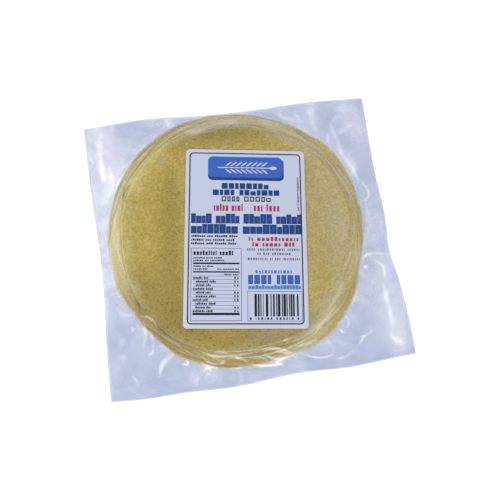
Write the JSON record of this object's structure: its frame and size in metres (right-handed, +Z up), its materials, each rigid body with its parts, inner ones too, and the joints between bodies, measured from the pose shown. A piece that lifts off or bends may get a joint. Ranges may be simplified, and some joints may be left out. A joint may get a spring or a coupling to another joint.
{
  "type": "sealed pack of raw roti",
  "caption": "Clear film pouch sealed flat round a stack of raw wholewheat rotis, with a rectangular paper label stuck askew on its upper face.",
  "frame": {"origin": "middle of the pack's bounding box in plan, at the base that it lies on", "axes": "+Z up through the upper film, +X along the pouch's long edges, +Y towards the top of the label"},
  "size_m": [0.2506, 0.2386, 0.0128],
  "materials": {
    "film": "clear glossy film with soft creases",
    "dough": "matte wholewheat dough with fine bran specks",
    "paper": "smooth semi-matte label paper",
    "ink_dark": "printed",
    "ink_blue": "printed",
    "ink_red": "printed"
  },
  "bodies": {
    "root": {"pouch": "film", "label": "paper"}
  },
  "joints": []
}
